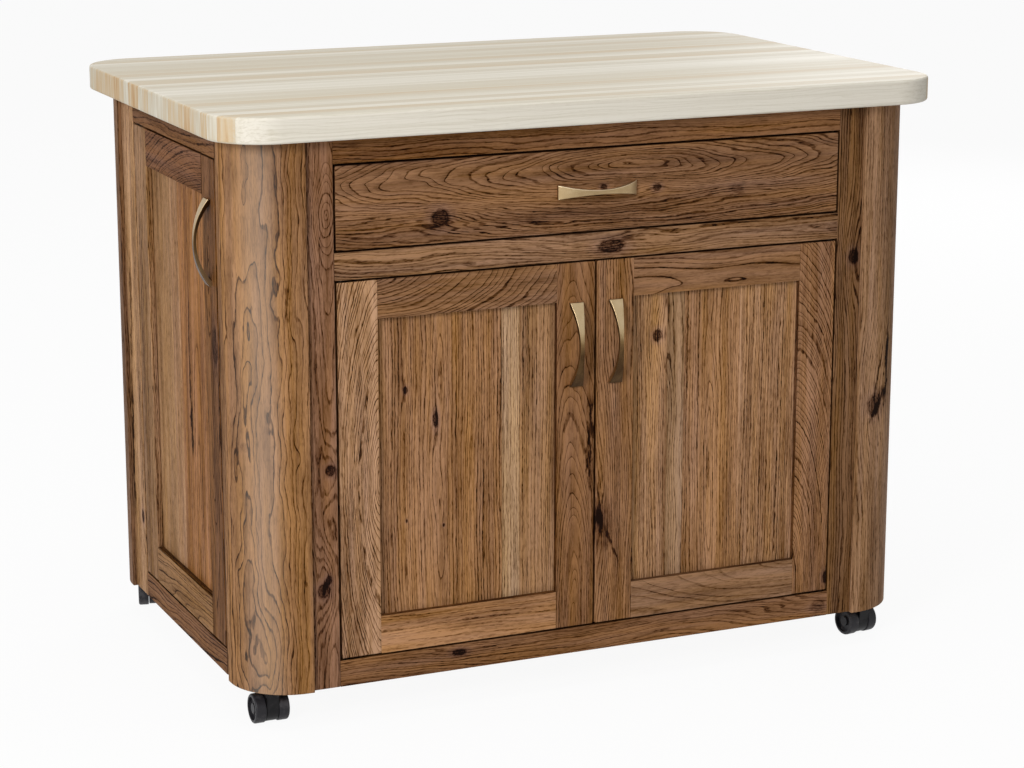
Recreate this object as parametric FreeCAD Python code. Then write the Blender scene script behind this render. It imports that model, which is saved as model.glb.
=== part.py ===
import FreeCAD, Part
import math
import os
from FreeCAD import Vector

# A kitchen island on casters, in millimetres.
# The origin is on the floor under the middle of the worktop, +X runs to the right along the front,
# the front faces -Y and +Z is up.

# Worktop
height = 914
top_width = 1168
top_depth = 762
top_thickness = 38
top_corner_radius = 85
top_edge_round = 4

# Corner posts
post_overhang = 28
post_size = 100
post_flat = 8
post_proud = 6.5
post_lift = 58
post_foot_round = 1.5

# Face frames
frame_thickness = 20
frame_lift = 59
front_stile_width = 43
side_front_stile_width = 26
side_rear_stile_width = 65
bottom_rail_height = 40
mid_rail_height = 40
top_rail_height = 38
drawer_opening_height = 128
reveal = 3

# Framed doors and fixed framed panels
door_thickness = 20
door_stile_width = 62
door_rail_height = 58
fixed_stile_width = 80
panel_thickness = 7
panel_recess = 10
groove_depth = 9
groove_slack = 0.2
groove_end_play = 1

# Concealed pivot hinges
pivot_inset = 8
pivot_setback = 6
pin_radius = 2.5
pin_clearance = 0.05
leaf_length = 30
leaf_width = 8
leaf_thickness = 2.5
leaf_end = 2
pin_reach = 5
pin_well_radius = 4
pin_well_depth = 4

# Door catches
catch_width = 40
catch_depth = 22
catch_drop = 18
catch_rise = 18
catch_gap = 1

# Inside of the cabinet
deck_thickness = 18
partition_thickness = 18
batten_height = 60
cleat_height = 30
cleat_depth = 18

# Drawer
drawer_front_thickness = 20
drawer_box_length = 500
drawer_box_height = 95
drawer_box_lift = 14
drawer_wall = 13
drawer_bottom_thickness = 6
drawer_bottom_lift = 10
drawer_groove_depth = 6
dovetail_count = 4
dovetail_slope = 0.16
dovetail_neck = 9

# Drawer slides
slide_space = 13
slide_height = 36
slide_sheet = 1.5
slide_depth = 11
slide_running_gap = 0.6
slide_setback = 2

# Bow pulls
pull_length = 128
pull_end_width = 22
pull_waist = 7
pull_projection = 25
pull_strap = 4.5
pull_end_thickness = 4
pull_foot = 7
pull_edge_round = 0.9
pull_drop = 60

# Twin-wheel casters
wheel_radius = 22.5
wheel_width = 16.5
wheel_outer_round = 3
wheel_inner_round = 1.5
wheel_dish_radius = 17.5
wheel_dish_depth = 5
wheel_hub_radius = 8
wheel_hub_inset = 1.5
wheel_side_gap = 1
caster_trail = 16
caster_body_width = 18
caster_body_radius = 21
axle_radius = 3
boss_radius = 11
boss_height = 8
neck_half = 8
neck_foot = 20
swivel_gap = 3.5
stem_radius = 5.5
stem_length = 40
stem_pin_radius = 4
stem_pin_length = 11
collar_radius = 12
collar_thickness = 2.2
running_clearance = 0.05
pin_end_room = 1
caster_turns = {"front_left": 0, "front_right": 8, "rear_left": -15, "rear_right": 0}

# How near two places on an edge count as level
tolerance = 0.01

# Levels and faces that several pieces share
top_underside = height - top_thickness
post_x = top_width / 2 - post_overhang
post_y = top_depth / 2 - post_overhang
post_inner_x = post_x - post_size
post_inner_y = post_y - post_size
face_x = post_x - post_proud
face_y = post_y - post_proud
inside_x = face_x - frame_thickness
inside_y = face_y - frame_thickness
opening_x = post_inner_x - front_stile_width
deck_top = frame_lift + bottom_rail_height
top_rail_bottom = top_underside - top_rail_height
mid_rail_top = top_rail_bottom - drawer_opening_height
mid_rail_bottom = mid_rail_top - mid_rail_height
frame_height = top_underside - frame_lift

front_door_width = opening_x - 1.5 * reveal
front_door_height = mid_rail_bottom - deck_top - 2 * reveal
side_door_height = top_rail_bottom - deck_top - 2 * reveal
door_bottom = deck_top + reveal
side_opening_front = -post_inner_y + side_front_stile_width
side_opening_rear = post_inner_y - side_rear_stile_width
side_door_front = side_opening_front + reveal
side_door_rear = side_opening_rear - reveal
side_door_width = side_door_rear - side_door_front

os.makedirs("parts", exist_ok=True)


def save(name, solids):
    """Write one node from one solid or from a list of like solids."""
    shape = Part.makeCompound(solids) if isinstance(solids, list) else solids
    shape.exportStep("parts/" + name + ".step")


def box(x, y, z):
    """A block between two limits along each axis."""
    size = Vector(x[1] - x[0], y[1] - y[0], z[1] - z[0])
    return Part.makeBox(size.x, size.y, size.z, Vector(x[0], y[0], z[0]))


def cylinder(radius, start, along):
    return Part.makeCylinder(radius, along.Length, start, along)


def placed(shape, corner, turn=0):
    """A copy turned about the vertical and moved so that its own origin lands on the corner."""
    copy = shape.copy()
    copy.rotate(Vector(0, 0, 0), Vector(0, 0, 1), turn)
    copy.translate(corner)
    return copy


def mirrored(shape):
    """The same piece for the other hand, across the middle of the front."""
    return shape.mirror(Vector(0, 0, 0), Vector(1, 0, 0))


def rounded_slab(width, depth, thickness, radius):
    """A flat slab centred in plan, with rounded plan corners and its underside at zero."""
    slab = Part.makeBox(width, depth, thickness, Vector(-width / 2, -depth / 2, 0))
    uprights = [edge for edge in slab.Edges if abs(edge.tangentAt(edge.FirstParameter).z) > 0.5]
    return slab.makeFillet(radius, uprights)


# Butcher-block top, eased all round
def make_top():
    slab = rounded_slab(top_width, top_depth, top_thickness, top_corner_radius)
    rims = [edge for edge in slab.Edges if edge.BoundBox.ZLength < tolerance]
    slab = slab.makeFillet(top_edge_round, rims)
    slab.translate(Vector(0, 0, top_underside))
    return slab


# Corner posts: a quarter round on the outside corner, and a socket for the caster stem below
def make_post():
    """The rear right post, with its inner corner at the origin."""
    bend = post_size - post_flat
    middle = post_flat + bend * math.sqrt(0.5)
    arc = Part.Arc(
        Vector(post_size, post_flat, 0),
        Vector(middle, middle, 0),
        Vector(post_flat, post_size, 0),
    )
    outline = [
        Part.makeLine(Vector(0, 0, 0), Vector(post_size, 0, 0)),
        Part.makeLine(Vector(post_size, 0, 0), Vector(post_size, post_flat, 0)),
        arc.toShape(),
        Part.makeLine(Vector(post_flat, post_size, 0), Vector(0, post_size, 0)),
        Part.makeLine(Vector(0, post_size, 0), Vector(0, 0, 0)),
    ]
    post = Part.Face(Part.Wire(outline)).extrude(Vector(0, 0, top_underside - post_lift))
    foot = [edge for edge in post.Edges if edge.BoundBox.ZMax < tolerance]
    outside = [edge for edge in foot if edge.CenterOfMass.x + edge.CenterOfMass.y > post_size]
    post = post.makeFillet(post_foot_round, outside)
    socket = cylinder(stem_radius, Vector(post_size / 2, post_size / 2, 0), Vector(0, 0, stem_length))
    return post.cut(socket)


post_turns = {"rear_right": 0, "rear_left": 90, "front_left": 180, "front_right": 270}
post_sides = {"rear_right": (1, 1), "rear_left": (-1, 1), "front_left": (-1, -1), "front_right": (1, -1)}


# Pivot hinges: a leaf with a pin in the door's end, and a drilled plate in the rail
def pivot_leaf(up):
    """A door leaf whose pin stands on the origin and points up or down out of the door's end."""
    start = leaf_end - pivot_inset
    depth = -up * leaf_thickness
    levels = sorted((0, depth))
    leaf = box((start, start + leaf_length), (-leaf_width / 2, leaf_width / 2), levels)
    pin_length = leaf_thickness + reveal + pin_reach
    pin = cylinder(pin_radius, Vector(0, 0, depth), Vector(0, 0, up * pin_length))
    return leaf.fuse(pin).removeSplitter()


def leaf_mortise(up):
    start = leaf_end - pivot_inset
    levels = sorted((0, -up * leaf_thickness))
    return box((start, start + leaf_length), (-leaf_width / 2, leaf_width / 2), levels)


def pivot_plate(up):
    """A rail plate that takes the pin; the rail's face is at zero and the rail lies on the up side."""
    plate = leaf_mortise(-up)
    hole = cylinder(pin_radius + pin_clearance, Vector(0, 0, 0), Vector(0, 0, up * leaf_thickness))
    return plate.cut(hole)


def rail_mortise(up):
    """The seat of a plate, with a well below it for the end of the pin."""
    well = cylinder(pin_well_radius, Vector(0, 0, 0), Vector(0, 0, up * (leaf_thickness + pin_well_depth)))
    return leaf_mortise(-up).fuse(well)


# Bow pull: a strap that bows out from the face and narrows from its flared ends to its waist
def make_pull():
    """Its length is along x, it sits on the face at y = 0 and bows out towards -y."""
    half = pull_length / 2
    inner = half - pull_foot
    crown = Part.Arc(
        Vector(-half, -pull_end_thickness, 0),
        Vector(0, -pull_projection, 0),
        Vector(half, -pull_end_thickness, 0),
    )
    arch = Part.Arc(
        Vector(inner, 0, 0),
        Vector(0, pull_strap - pull_projection, 0),
        Vector(-inner, 0, 0),
    )
    side = Part.Wire([
        Part.makeLine(Vector(-half, 0, 0), Vector(-half, -pull_end_thickness, 0)),
        crown.toShape(),
        Part.makeLine(Vector(half, -pull_end_thickness, 0), Vector(half, 0, 0)),
        Part.makeLine(Vector(half, 0, 0), Vector(inner, 0, 0)),
        arch.toShape(),
        Part.makeLine(Vector(-inner, 0, 0), Vector(-half, 0, 0)),
    ])
    strap = Part.Face(side).extrude(Vector(0, 0, pull_end_width))
    strap.translate(Vector(0, 0, -pull_end_width / 2))
    flare_up = Part.Arc(
        Vector(-half, 0, pull_end_width / 2),
        Vector(0, 0, pull_waist / 2),
        Vector(half, 0, pull_end_width / 2),
    )
    flare_down = Part.Arc(
        Vector(half, 0, -pull_end_width / 2),
        Vector(0, 0, -pull_waist / 2),
        Vector(-half, 0, -pull_end_width / 2),
    )
    bow_tie = Part.Wire([
        flare_up.toShape(),
        Part.makeLine(Vector(half, 0, pull_end_width / 2), Vector(half, 0, -pull_end_width / 2)),
        flare_down.toShape(),
        Part.makeLine(Vector(-half, 0, -pull_end_width / 2), Vector(-half, 0, pull_end_width / 2)),
    ])
    outline = Part.Face(bow_tie).extrude(Vector(0, -pull_projection, 0))
    pull = strap.common(outline)
    crown_face = max(pull.Faces, key=lambda face: -face.CenterOfMass.y)
    return pull.makeFillet(pull_edge_round, crown_face.Edges)


def upright_pull():
    pull = make_pull()
    pull.rotate(Vector(0, 0, 0), Vector(0, 1, 0), 90)
    return pull


# Stile-and-rail frames with a panel in grooves, for the doors and for the fixed end and back
def groove_band():
    """Front and back of the groove behind the face."""
    return (panel_recess - groove_slack, panel_recess + panel_thickness + groove_slack)


def panel_band():
    return (panel_recess, panel_recess + panel_thickness)


def framed_panel(width, tall, thick, stile, top_rail, bottom_rail):
    """A frame with its lower left front corner at the origin: left stile, right stile, rails and panel."""
    inner_left = stile
    inner_right = width - stile
    inner_low = bottom_rail
    inner_high = tall - top_rail
    tongue = groove_depth - groove_end_play
    left = box((0, stile), (0, thick), (0, tall))
    left = left.cut(box((stile - groove_depth, stile), groove_band(), (0, tall)))
    right = box((inner_right, width), (0, thick), (0, tall))
    right = right.cut(box((inner_right, inner_right + groove_depth), groove_band(), (0, tall)))
    rails = []
    for low, high, groove in (
        (0, inner_low, (inner_low - groove_depth, inner_low)),
        (inner_high, tall, (inner_high, inner_high + groove_depth)),
    ):
        body = box((inner_left, inner_right), (0, thick), (low, high))
        tenon = box((inner_left - tongue, inner_right + tongue), panel_band(), (low, high))
        cut = box((inner_left - groove_depth, inner_right + groove_depth), groove_band(), groove)
        rails.append(body.fuse(tenon).removeSplitter().cut(cut))
    panel = box(
        (inner_left - tongue, inner_right + tongue),
        panel_band(),
        (inner_low - tongue, inner_high + tongue),
    )
    return left, right, rails, panel


def make_door(width, tall):
    """A left-hung door: its nodes' solids by name, with its lower left front corner at the origin."""
    hinge_stile, pull_stile, rails, panel = framed_panel(
        width, tall, door_thickness, door_stile_width, door_rail_height, door_rail_height)
    pivots = []
    for level, up in ((tall, 1), (0, -1)):
        corner = Vector(pivot_inset, pivot_setback, level)
        hinge_stile = hinge_stile.cut(placed(leaf_mortise(up), corner))
        pivots.append(placed(pivot_leaf(up), corner))
    pull_middle = Vector(width - door_stile_width / 2, 0, tall - pull_drop - pull_length / 2)
    return {
        "hinge_stile": hinge_stile,
        "pull_stile": pull_stile,
        "rails": rails,
        "panel": panel,
        "pull": placed(upright_pull(), pull_middle),
        "pivots": pivots,
    }


def save_door(name, door, place):
    for piece, solids in door.items():
        if isinstance(solids, list):
            save(name + "_" + piece, [place(solid) for solid in solids])
        else:
            save(name + "_" + piece, place(solids))


save("butcher_block_top", make_top())

for corner, (across, back) in post_sides.items():
    inner_corner = Vector(across * post_inner_x, back * post_inner_y, post_lift)
    save("post_" + corner, placed(make_post(), inner_corner, post_turns[corner]))

# Front face frame
front_band = (-face_y, -inside_y)
left_pivot = Vector(-opening_x + reveal + pivot_inset, -face_y + pivot_setback, 0)
side_pivot = Vector(-face_x + pivot_setback, side_door_rear - pivot_inset, 0)
plates = []


def front_plate_seats(rail, level, up):
    """Seat a hinge plate for each front door in a rail's face."""
    seat = placed(rail_mortise(up), left_pivot + Vector(0, 0, level))
    plate = placed(pivot_plate(up), left_pivot + Vector(0, 0, level))
    plates.extend([plate, mirrored(plate)])
    return rail.cut(seat).cut(mirrored(seat))


front_stile = box((-post_inner_x, -opening_x), front_band, (frame_lift, top_underside))
save("front_stile_left", front_stile)
save("front_stile_right", mirrored(front_stile))
front_span = (-opening_x, opening_x)
save("front_top_rail", box(front_span, front_band, (top_rail_bottom, top_underside)))
mid_rail = box(front_span, front_band, (mid_rail_bottom, mid_rail_top))
save("front_mid_rail", front_plate_seats(mid_rail, mid_rail_bottom, 1))
bottom_rail = box(front_span, front_band, (frame_lift, deck_top))
save("front_bottom_rail", front_plate_seats(bottom_rail, deck_top, -1))

# Face frame of the left end, with the door opening nearer the front
left_band = (-face_x, -inside_x)
left_span = (side_opening_front, side_opening_rear)
upright = (frame_lift, top_underside)
save("left_stile_front", box(left_band, (-post_inner_y, side_opening_front), upright))
save("left_stile_rear", box(left_band, (side_opening_rear, post_inner_y), upright))


def left_plate_seat(rail, level, up):
    corner = side_pivot + Vector(0, 0, level)
    plates.append(placed(pivot_plate(up), corner, -90))
    return rail.cut(placed(rail_mortise(up), corner, -90))


left_top_rail = box(left_band, left_span, (top_rail_bottom, top_underside))
save("left_top_rail", left_plate_seat(left_top_rail, top_rail_bottom, 1))
left_bottom_rail = box(left_band, left_span, (frame_lift, deck_top))
save("left_bottom_rail", left_plate_seat(left_bottom_rail, deck_top, -1))
save("pivot_plates", plates)

# Fixed framed panels close the right end and the back, their panels level with the left door's panel
fixed_top_rail = top_rail_height + reveal + door_rail_height
fixed_bottom_rail = bottom_rail_height + reveal + door_rail_height
right_corner = Vector(face_x, -post_inner_y, frame_lift)
near, far, end_rails, end_panel = framed_panel(
    2 * post_inner_y, frame_height, frame_thickness, fixed_stile_width, fixed_top_rail, fixed_bottom_rail)
save("right_stiles", [placed(near, right_corner, 90), placed(far, right_corner, 90)])
save("right_rails", [placed(rail, right_corner, 90) for rail in end_rails])
save("right_panel", placed(end_panel, right_corner, 90))

back_corner = Vector(post_inner_x, face_y, frame_lift)
near, far, back_rails, back_panel = framed_panel(
    2 * post_inner_x, frame_height, frame_thickness, fixed_stile_width, fixed_top_rail, fixed_bottom_rail)
middle_left = post_inner_x - fixed_stile_width / 2
middle_right = post_inner_x + fixed_stile_width / 2
tongue = groove_depth - groove_end_play
back_low = fixed_bottom_rail
back_high = frame_height - fixed_top_rail
centre_stile = box((middle_left, middle_right), (0, frame_thickness), (back_low, back_high))
centre_tenon = box((middle_left, middle_right), panel_band(), (back_low - tongue, back_high + tongue))
centre_stile = centre_stile.fuse(centre_tenon).removeSplitter()
for edge in ((middle_left, middle_left + groove_depth), (middle_right - groove_depth, middle_right)):
    groove_run = (back_low - groove_depth, back_high + groove_depth)
    centre_stile = centre_stile.cut(box(edge, groove_band(), groove_run))
web = box((middle_left + tongue, middle_right - tongue), (0, frame_thickness), (0, frame_height))
back_panels = back_panel.cut(web).Solids
save("back_stiles", [placed(stile, back_corner, 180) for stile in (near, centre_stile, far)])
save("back_rails", [placed(rail, back_corner, 180) for rail in back_rails])
save("back_panels", [placed(panel, back_corner, 180) for panel in back_panels])

# Inside of the cabinet
deck = box((-inside_x, inside_x), (-inside_y, inside_y), (deck_top - deck_thickness, deck_top))
for across, back in post_sides.values():
    along_x = sorted((across * post_inner_x, across * post_x))
    along_y = sorted((back * post_inner_y, back * post_y))
    deck = deck.cut(box(along_x, along_y, (post_lift, deck_top)))
save("cabinet_deck", deck)

partition_band = (-opening_x - partition_thickness, -opening_x)
inside_depth = (-inside_y, inside_y)
save("partition", box(partition_band, inside_depth, (deck_top, top_underside)))

drawer_bottom_edge = mid_rail_top + reveal
drawer_top_edge = top_rail_bottom - reveal
box_low = drawer_bottom_edge + drawer_box_lift
box_high = box_low + drawer_box_height
slide_middle = (box_low + box_high) / 2
batten_levels = (slide_middle - batten_height / 2, slide_middle + batten_height / 2)
slide_batten = box((opening_x, opening_x + partition_thickness), inside_depth, batten_levels)
cleat_levels = (top_underside - cleat_height, top_underside)
front_cleat = box(front_span, (-inside_y, -inside_y + cleat_depth), cleat_levels)
back_cleat = box(front_span, (inside_y - cleat_depth, inside_y), cleat_levels)
save("cabinet_battens", [front_cleat, back_cleat, slide_batten])


# Door catches: a block behind the free top corner of each door, which also stops it flush
def make_catch():
    """Local: the rail's back face is at y = 0 and its lower edge at z = 0."""
    hook = box((0, catch_width), (catch_gap, catch_depth), (-catch_drop, catch_rise))
    seat = box((0, catch_width), (0, catch_gap), (reveal, catch_rise))
    return hook.fuse(seat).removeSplitter()


front_catch = placed(make_catch(), Vector(-reveal - catch_width, -inside_y, mid_rail_bottom))
side_catch_corner = Vector(-inside_x, side_door_front + reveal + catch_width, top_rail_bottom)
side_catch = placed(make_catch(), side_catch_corner, -90)
save("door_catches", [front_catch, mirrored(front_catch), side_catch])

# Front doors and the door of the left end
front_door = make_door(front_door_width, front_door_height)
front_door_corner = Vector(-opening_x + reveal, -face_y, door_bottom)
save_door("left_door", front_door, lambda solid: placed(solid, front_door_corner))
save_door("right_door", front_door, lambda solid: mirrored(placed(solid, front_door_corner)))
side_door = make_door(side_door_width, side_door_height)
side_door_corner = Vector(-face_x, side_door_rear, door_bottom)
save_door("side_door", side_door, lambda solid: placed(solid, side_door_corner, -90))

# Drawer: a flat slab front on a dovetailed box
drawer_back_face = -face_y + drawer_front_thickness
drawer_half = opening_x - reveal
save("drawer_front", box(
    (-drawer_half, drawer_half), (-face_y, drawer_back_face), (drawer_bottom_edge, drawer_top_edge)))
drawer_pull_middle = Vector(0, -face_y, (drawer_bottom_edge + drawer_top_edge) / 2)
save("drawer_pull", placed(make_pull(), drawer_pull_middle))

box_x = opening_x - slide_space
box_inner_x = box_x - drawer_wall
box_rear = drawer_back_face + drawer_box_length
box_levels = (box_low, box_high)


def dovetails(front, depth):
    """The tails of one corner joint, between two limits along y, widening towards the outer face."""
    pitch = drawer_box_height / dovetail_count
    tails = []
    for count in range(dovetail_count):
        middle = box_low + (count + 0.5) * pitch
        near_half = pitch / 2 - dovetail_neck / 2 - dovetail_slope * drawer_wall / 2
        far_half = near_half + dovetail_slope * drawer_wall
        corners = [
            Vector(-box_x, front, middle - near_half),
            Vector(-box_x, front, middle + near_half),
            Vector(-box_x, front + depth, middle + far_half),
            Vector(-box_x, front + depth, middle - far_half),
        ]
        outline = Part.makePolygon(corners + corners[:1])
        tails.append(Part.Face(outline).extrude(Vector(drawer_wall, 0, 0)))
    return tails


# The tails are cut on the sides, and the box front and back fill the spaces between them.
bottom_levels = (box_low + drawer_bottom_lift, box_low + drawer_bottom_lift + drawer_bottom_thickness)
bottom_x = box_inner_x + drawer_groove_depth
shoulders = (drawer_back_face + drawer_wall, box_rear - drawer_wall)
bottom_y = (shoulders[0] - drawer_groove_depth, shoulders[1] + drawer_groove_depth)
bottom_slot = box((-bottom_x, bottom_x), bottom_y, bottom_levels)
left_side = box((-box_x, -box_inner_x), shoulders, box_levels)
for tail in dovetails(shoulders[0], -drawer_wall) + dovetails(shoulders[1], drawer_wall):
    left_side = left_side.fuse(tail)
left_side = left_side.removeSplitter()
box_front = box((-box_x, box_x), (drawer_back_face, drawer_back_face + drawer_wall), box_levels)
box_back = box((-box_x, box_x), (box_rear - drawer_wall, box_rear), box_levels)
for side in (left_side, mirrored(left_side)):
    box_front = box_front.cut(side)
    box_back = box_back.cut(side)
left_side_grooved = left_side.cut(bottom_slot)
save("drawer_sides", [left_side_grooved, mirrored(left_side_grooved)])
save("drawer_box_front", box_front.cut(bottom_slot))
save("drawer_back", box_back.cut(bottom_slot))
save("drawer_bottom", bottom_slot)

# Drawer slides: a channel on the cabinet and a narrower one on the drawer that runs inside it
slide_start = -inside_y + slide_setback
slide_run = (slide_start, slide_start + drawer_box_length - slide_setback)
half_slide = slide_height / 2


def channel(open_x, web_x, half):
    """A sheet channel along y, open at one x and with its web at the other."""
    toward_open = math.copysign(slide_sheet, open_x - web_x)
    block = box(sorted((open_x, web_x)), slide_run, (slide_middle - half, slide_middle + half))
    hollow = box(
        sorted((open_x, web_x + toward_open)),
        slide_run,
        (slide_middle - half + slide_sheet, slide_middle + half - slide_sheet),
    )
    return block.cut(hollow)


cabinet_member = channel(-opening_x + slide_depth, -opening_x, half_slide)
drawer_member = channel(
    -opening_x + slide_space - slide_depth + slide_sheet,
    -box_x,
    half_slide - slide_sheet - slide_running_gap,
)
save("slide_cabinet_members", [cabinet_member, mirrored(cabinet_member)])
save("slide_drawer_members", [drawer_member, mirrored(drawer_member)])

# Casters: a steel stem in the post, a swivelling body, and two wheels on an axle beside it
body_top = post_lift - collar_thickness - swivel_gap
axle_height = wheel_radius
body_half = caster_body_width / 2
caster_half = body_half + wheel_side_gap + wheel_width


def make_stem():
    """Local: the swivel axis is the z axis and z = 0 is the underside of the post."""
    shank = cylinder(stem_radius, Vector(0, 0, 0), Vector(0, 0, stem_length))
    collar = cylinder(collar_radius, Vector(0, 0, -collar_thickness), Vector(0, 0, collar_thickness))
    pin_bottom = -collar_thickness - swivel_gap - stem_pin_length
    pin = cylinder(stem_pin_radius, Vector(0, 0, pin_bottom), Vector(0, 0, -pin_bottom))
    return shank.fuse(collar).fuse(pin).removeSplitter()


def wheel_axis(radius, start, end):
    """A cylinder on the wheels' axis between two places along x."""
    return cylinder(radius, Vector(start, caster_trail, axle_height), Vector(end - start, 0, 0))


def make_body():
    """Local: the swivel axis is the z axis, the floor is at zero and the wheels trail towards +y."""
    disc = wheel_axis(caster_body_radius, -body_half, body_half)
    neck_corners = [
        Vector(-body_half, -neck_half, body_top),
        Vector(-body_half, neck_half, body_top),
        Vector(-body_half, caster_trail + neck_foot, axle_height),
        Vector(-body_half, caster_trail - neck_foot, axle_height),
    ]
    neck_outline = Part.makePolygon(neck_corners + neck_corners[:1])
    neck = Part.Face(neck_outline).extrude(Vector(caster_body_width, 0, 0))
    boss = cylinder(boss_radius, Vector(0, 0, body_top - boss_height), Vector(0, 0, boss_height))
    body = disc.fuse(neck).fuse(boss).removeSplitter()
    bore_depth = stem_pin_length + pin_end_room
    bore = cylinder(
        stem_pin_radius + running_clearance,
        Vector(0, 0, body_top - bore_depth),
        Vector(0, 0, bore_depth),
    )
    axle_bore = wheel_axis(axle_radius + running_clearance, -body_half, body_half)
    return body.cut(bore).cut(axle_bore)


def make_wheel():
    """The wheel on the +x side: a rounded tread, and a dish round the hub in its outer face."""
    inner = body_half + wheel_side_gap
    wheel = wheel_axis(wheel_radius, inner, caster_half)
    outer_rim = [edge for edge in wheel.Edges if edge.BoundBox.XMin > caster_half - tolerance]
    wheel = wheel.makeFillet(wheel_outer_round, outer_rim)
    inner_rim = [edge for edge in wheel.Edges if edge.BoundBox.XMax < inner + tolerance]
    wheel = wheel.makeFillet(wheel_inner_round, inner_rim)
    dish = wheel_axis(wheel_dish_radius, caster_half - wheel_dish_depth, caster_half)
    hub = wheel_axis(wheel_hub_radius, inner, caster_half - wheel_hub_inset)
    wheel = wheel.cut(dish.cut(hub))
    return wheel.cut(wheel_axis(axle_radius, inner, caster_half))


def make_wheels():
    wheel = make_wheel()
    axle_half = caster_half - wheel_hub_inset
    return [wheel, mirrored(wheel), wheel_axis(axle_radius, -axle_half, axle_half)]


stems = []
for corner, (across, back) in post_sides.items():
    swivel = Vector(across * (post_x - post_size / 2), back * (post_y - post_size / 2), 0)
    turn = caster_turns[corner]
    stems.append(placed(make_stem(), swivel + Vector(0, 0, post_lift)))
    save("caster_body_" + corner, placed(make_body(), swivel, turn))
    save("caster_wheels_" + corner, [placed(solid, swivel, turn) for solid in make_wheels()])
save("caster_stems", stems)
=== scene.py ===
import bpy
import math
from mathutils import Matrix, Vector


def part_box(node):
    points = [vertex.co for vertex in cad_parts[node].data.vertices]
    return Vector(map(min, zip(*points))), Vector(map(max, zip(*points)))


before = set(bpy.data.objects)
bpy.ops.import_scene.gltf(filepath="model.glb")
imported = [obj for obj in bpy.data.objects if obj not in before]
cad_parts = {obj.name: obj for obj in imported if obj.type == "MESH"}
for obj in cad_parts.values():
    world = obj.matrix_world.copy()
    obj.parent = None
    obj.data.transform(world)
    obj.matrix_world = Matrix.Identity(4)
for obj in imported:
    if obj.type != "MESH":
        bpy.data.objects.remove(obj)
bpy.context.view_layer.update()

# Corner posts: solid hickory, the outer corner turned to a broad quarter round, stained brown and
# finished in satin lacquer. Each runs from under the worktop down to its caster and carries the
# frames on its two inner sides.


class Wire:
    """A socket of a finish's node tree: arithmetic on it adds Math nodes."""

    def __init__(self, tree, socket=None):
        self.tree = tree
        self.socket = socket

    def feed(self, target, sockets):
        for name, value in sockets.items():
            if isinstance(value, Wire):
                self.tree.links.new(value.socket, target.inputs[name])
            else:
                target.inputs[name].default_value = value

    def node(self, kind, settings, sockets, output=0):
        """Add a node: its settings first, then the values or links of its sockets."""
        added = self.tree.nodes.new("ShaderNode" + kind)
        for name, value in settings.items():
            if name == "stops":
                for spare in range(len(value) - 2):
                    added.color_ramp.elements.new(0.5)
                for stop, (position, colour) in zip(added.color_ramp.elements, value):
                    stop.position = position
                    stop.color = colour
            else:
                setattr(added, name, value)
        self.feed(added, sockets)
        return Wire(self.tree, added.outputs[output])

    def __getitem__(self, output):
        """Another output of the node that this socket belongs to."""
        return Wire(self.tree, self.socket.node.outputs[output])

    def math(self, operation, *others):
        return self.node("Math", {"operation": operation}, dict(enumerate((self, *others))))

    def swapped(self, operation, other):
        return self.node("Math", {"operation": operation}, {0: other, 1: self})

    def __add__(self, other):
        return self.math("ADD", other)

    __radd__ = __add__

    def __sub__(self, other):
        return self.math("SUBTRACT", other)

    def __rsub__(self, other):
        return self.swapped("SUBTRACT", other)

    def __mul__(self, other):
        return self.math("MULTIPLY", other)

    __rmul__ = __mul__

    def __truediv__(self, other):
        return self.math("DIVIDE", other)

    def __rtruediv__(self, other):
        return self.swapped("DIVIDE", other)

    def __pow__(self, power):
        return self.math("POWER", power)

    def rise(self, low, high):
        """0 before low, 1 past high, and a smooth step between; high may be the lower one."""
        return self.node(
            "MapRange",
            {"interpolation_type": "SMOOTHSTEP"},
            {"Value": self, "From Min": low, "From Max": high},
        )


def new_finish(name):
    material = bpy.data.materials.new(name)
    material.use_nodes = True
    return material, Wire(material.node_tree)


def lacquer(material, sockets):
    """Feed the finish's shader."""
    shader = material.node_tree.nodes["Principled BSDF"]
    Wire(material.node_tree).feed(shader, sockets)


def ink(red, green, blue):
    """A colour as the eye reads it, from 0 to 255, as a shader's colour."""
    linear = []
    for part in (red, green, blue):
        part = part / 255
        linear.append(part / 12.92 if part <= 0.04045 else ((part + 0.055) / 1.055) ** 2.4)
    return (*linear, 1.0)


def stain_depths(tone):
    """From thin stain on hard wood to stain pooled in a knot, around one middle tone."""
    middle = ink(*tone)

    def share(red, green, blue):
        return (middle[0] * red, middle[1] * green, middle[2] * blue, 1.0)

    return [
        (0.0, share(1.75, 1.85, 2.0)),
        (0.34, middle),
        (0.62, share(0.53, 0.45, 0.38)),
        (0.84, share(0.20, 0.145, 0.11)),
        (1.0, share(0.05, 0.04, 0.04)),
    ]


def board(tone, heart, lean=0.02, span=9.0, behind=0.03, ring=0.004, sway=0.02, waves=1.0, line=1.0,
          bold=1.0, tree=0.0, upto=None):
    """One board: its tone, the place along and across where the tree's heart comes nearest to its
    face, how steeply it dips from there and for how far, how deep it lies, how wide the years grew,
    how far and in what length of wave they sway, how wide their spring lines are, and how boldly
    these took the stain."""
    return dict(tone=tone, heart_along=heart[0], heart_side=heart[1], lean=lean, span=span,
                behind=behind, ring=ring, sway=sway, waves=waves, line=line, bold=bold, tree=tree,
                upto=upto)


def knot(along, side, size, drawn, dark):
    """A knot: its place along and across, its size, how far it is drawn out, how dark it is."""
    return along, side, size, drawn, dark


def streak(side, half, start, end, strength, slant):
    """A streak of mineral stain, and once a painted shadow beside a post: its place across, its
    half width, its two ends along the board, its strength, less than 0 where it is paler, and its
    slant."""
    return side, half, start, end, strength, slant


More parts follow.
